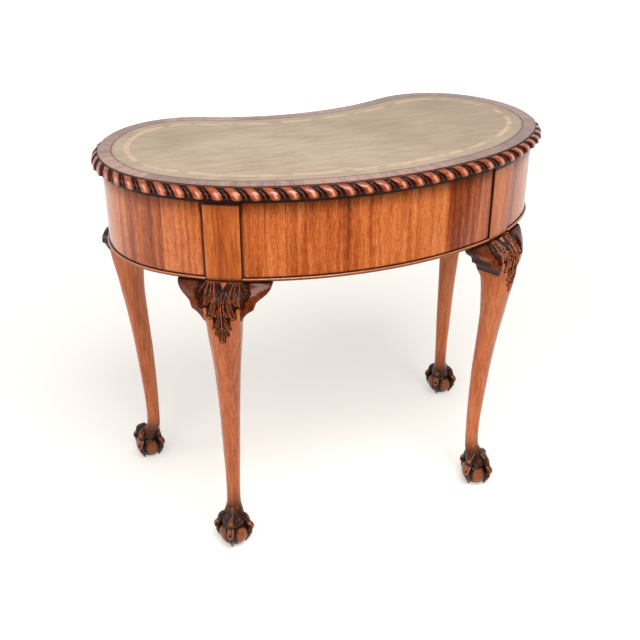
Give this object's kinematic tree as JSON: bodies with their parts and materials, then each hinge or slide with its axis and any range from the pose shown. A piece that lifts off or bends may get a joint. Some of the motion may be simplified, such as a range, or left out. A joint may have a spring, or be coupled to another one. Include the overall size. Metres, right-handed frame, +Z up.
{
  "type": "kidney shaped desk",
  "caption": "Kidney shaped writing desk with a leather top, carved edge, veneered frieze, drawers under the hollowed side, and cabriole legs with claw-and-ball feet.",
  "frame": {"origin": "on the floor, under the middle of the top", "axes": "+X along the desk, to the right of someone who faces its long convex side; +Y towards the sitter at the hollowed side; +Z up"},
  "size_m": [0.8884, 0.4982, 0.76],
  "materials": {
    "tooled_leather": "worn tooled leather, satin",
    "crossband_veneer": "crossbanded walnut, polished",
    "carved_moulding_walnut": "carved walnut, polished, dark in the hollows",
    "frieze_veneer": "straight-grained walnut veneer, polished",
    "bead_walnut": "walnut, polished",
    "leg_walnut": "solid walnut, polished, carving darkened",
    "kneehole_veneer": "walnut veneer, polished",
    "top_board_wood": "bare wood underneath",
    "carcase_wood": "bare softwood",
    "drawer_lining": "bare oak",
    "brass": "aged brass",
    "screw_steel": "dulled steel"
  },
  "bodies": {
    "desk": {"crossbanding": "crossband_veneer", "drawer_divider_left": "kneehole_veneer", "drawer_divider_right": "kneehole_veneer", "drawer_kickers": "carcase_wood", "drawer_runners": "carcase_wood", "drawer_stops": "carcase_wood", "edge_moulding_left_end": "carved_moulding_walnut", "edge_moulding_long_side": "carved_moulding_walnut", "edge_moulding_right_end": "carved_moulding_walnut", "edge_moulding_waist": "carved_moulding_walnut", "glue_blocks": "carcase_wood", "kneehole_bead": "bead_walnut", "kneehole_left_leg": "leg_walnut", "kneehole_left_leg_ear_before": "leg_walnut", "kneehole_left_leg_ear_beyond": "leg_walnut", "kneehole_lower_rail": "kneehole_veneer", "kneehole_right_leg": "leg_walnut", "kneehole_right_leg_ear_before": "leg_walnut", "kneehole_right_leg_ear_beyond": "leg_walnut", "kneehole_upper_rail": "kneehole_veneer", "leather_writing_surface": "tooled_leather", "left_end_bead": "bead_walnut", "left_end_rail": "carcase_wood", "left_end_veneer": "frieze_veneer", "long_side_bead": "bead_walnut", "long_side_left_leg": "leg_walnut", "long_side_left_leg_ear_before": "leg_walnut", "long_side_left_leg_ear_beyond": "leg_walnut", "long_side_rail": "carcase_wood", "long_side_right_leg": "leg_walnut", "long_side_right_leg_ear_before": "leg_walnut", "long_side_right_leg_ear_beyond": "leg_walnut", "long_side_veneer": "frieze_veneer", "right_end_bead": "bead_walnut", "right_end_rail": "carcase_wood", "right_end_veneer": "frieze_veneer", "top_board": "top_board_wood", "top_screws": "screw_steel"},
    "centre_drawer": {"centre_drawer_back": "drawer_lining", "centre_drawer_bottom": "drawer_lining", "centre_drawer_front": "kneehole_veneer", "centre_drawer_handle_posts": "brass", "centre_drawer_left_side": "drawer_lining", "centre_drawer_right_side": "drawer_lining"},
    "centre_drawer_bail": {"centre_drawer_bail": "brass"},
    "right_drawer": {"right_drawer_back": "drawer_lining", "right_drawer_bottom": "drawer_lining", "right_drawer_front": "kneehole_veneer", "right_drawer_handle_posts": "brass", "right_drawer_left_side": "drawer_lining", "right_drawer_right_side": "drawer_lining"},
    "right_drawer_bail": {"right_drawer_bail": "brass"},
    "left_drawer": {"left_drawer_back": "drawer_lining", "left_drawer_bottom": "drawer_lining", "left_drawer_front": "kneehole_veneer", "left_drawer_handle_posts": "brass", "left_drawer_left_side": "drawer_lining", "left_drawer_right_side": "drawer_lining"},
    "left_drawer_bail": {"left_drawer_bail": "brass"}
  },
  "joints": [
    {"name": "centre_drawer_slide", "type": "slide", "parent": "desk", "child": "centre_drawer", "axis": [0, 1, 0], "range_m": [0, 0.23]},
    {"name": "centre_drawer_bail_swing", "type": "hinge", "parent": "centre_drawer", "child": "centre_drawer_bail", "pos_m": [0, 0.18509, 0.66605], "axis": [1, 0, 0], "range_deg": [-12, 100]},
    {"name": "right_drawer_slide", "type": "slide", "parent": "desk", "child": "right_drawer", "axis": [0, 1, 0], "range_m": [0, 0.19]},
    {"name": "right_drawer_bail_swing", "type": "hinge", "parent": "right_drawer", "child": "right_drawer_bail", "pos_m": [0.25937, 0.24104, 0.66605], "axis": [1, 0, 0], "range_deg": [-12, 100]},
    {"name": "left_drawer_slide", "type": "slide", "parent": "desk", "child": "left_drawer", "axis": [0, 1, 0], "range_m": [0, 0.19]},
    {"name": "left_drawer_bail_swing", "type": "hinge", "parent": "left_drawer", "child": "left_drawer_bail", "pos_m": [-0.25937, 0.24104, 0.66605], "axis": [1, 0, 0], "range_deg": [-12, 100]}
  ]
}
